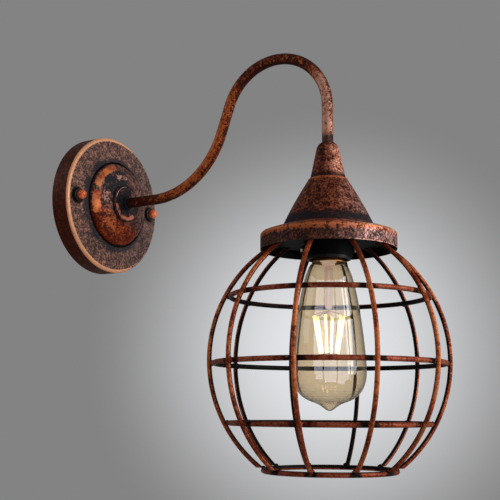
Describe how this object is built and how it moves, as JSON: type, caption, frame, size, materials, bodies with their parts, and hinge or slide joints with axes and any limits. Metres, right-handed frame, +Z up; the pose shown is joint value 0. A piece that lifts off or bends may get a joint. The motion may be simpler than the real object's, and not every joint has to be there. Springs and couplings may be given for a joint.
{
  "type": "cage wall light",
  "caption": "Swan-neck wall light: round canopy plate, bent tube arm, flared cone shade and a round wire cage with a rib-and-ring grid round a pear-shaped filament bulb.",
  "frame": {"origin": "centre of the wall plate's rear plane, on the wall", "axes": "+Z up, +Y into the wall (the room side is -Y), +X to the right seen from the room"},
  "size_m": [0.2032, 0.3654, 0.3761],
  "materials": {
    "plate_copper": "antique copper over dark brown, mottled, satin",
    "dome_copper": "antique copper over dark brown, mottled, satin",
    "collar_copper": "dark antique copper, satin",
    "nut_copper": "antique copper, rubbed bright, satin",
    "arm_copper": "antique copper over dark brown, mottled, satin",
    "cone_copper": "antique copper, mottled, satin",
    "shade_copper": "antique copper over black, mottled, satin",
    "wire_copper": "antique copper on wire, darkened at the welds",
    "black_metal": "black enamel, satin",
    "socket_black": "black moulded resin",
    "zinc_steel": "zinc plate",
    "terminal_brass": "plain brass",
    "terminal_plastic": "pale moulded nylon",
    "porcelain": "glazed porcelain",
    "live_insulation": "brown insulation",
    "neutral_insulation": "blue insulation",
    "earth_insulation": "green insulation",
    "bulb_glass": "amber tinted clear glass",
    "bulb_brass": "dull brass plate",
    "solder": "solder",
    "stem_glass": "clear glass",
    "support_wire": "nickel wire",
    "filament": "coated warm white strip"
  },
  "bodies": {
    "fixture": {"wall_bracket": "zinc_steel", "bracket_studs": "zinc_steel", "stud_lock_nuts": "zinc_steel", "terminal_block": "terminal_plastic", "terminal_sleeves": "terminal_brass", "terminal_screws": "zinc_steel", "block_screw": "zinc_steel", "earth_screw": "terminal_brass", "earth_tags": "terminal_brass", "earth_lead": "earth_insulation", "wall_plate": "plate_copper", "centre_dome": "dome_copper", "arm_collar": "collar_copper", "ball_nut_left": "nut_copper", "ball_nut_right": "nut_copper", "arm_washer": "zinc_steel", "arm_lock_nut": "zinc_steel", "arm_tube": "arm_copper", "lead_live": "live_insulation", "lead_neutral": "neutral_insulation", "neck_cap": "cone_copper", "upper_lock_nut": "zinc_steel", "shade": "shade_copper", "shade_washer": "zinc_steel", "lower_lock_nut": "zinc_steel", "socket_cap": "socket_black", "socket_body": "socket_black", "socket_insert": "porcelain", "socket_terminals": "terminal_brass", "screw_shell": "terminal_brass", "centre_contact": "terminal_brass", "cage_collar": "black_metal", "collar_screws": "zinc_steel", "rib_01": "wire_copper", "rib_02": "wire_copper", "rib_03": "wire_copper", "rib_04": "wire_copper", "rib_05": "wire_copper", "rib_06": "wire_copper", "rib_07": "wire_copper", "rib_08": "wire_copper", "rib_09": "wire_copper", "rib_10": "wire_copper", "ring_upper": "wire_copper", "ring_middle": "wire_copper", "ring_lower": "wire_copper", "ring_bottom": "wire_copper"},
    "bulb": {"bulb_glass": "bulb_glass", "bulb_cap": "bulb_brass", "bulb_insulator": "socket_black", "bulb_contact": "solder", "bulb_stem": "stem_glass", "filament_supports": "support_wire", "filaments": "filament"}
  },
  "joints": [
    {"name": "bulb_slide", "type": "slide", "parent": "fixture", "child": "bulb", "axis": [0, 0, -1], "range_m": [0, 0.21]}
  ]
}
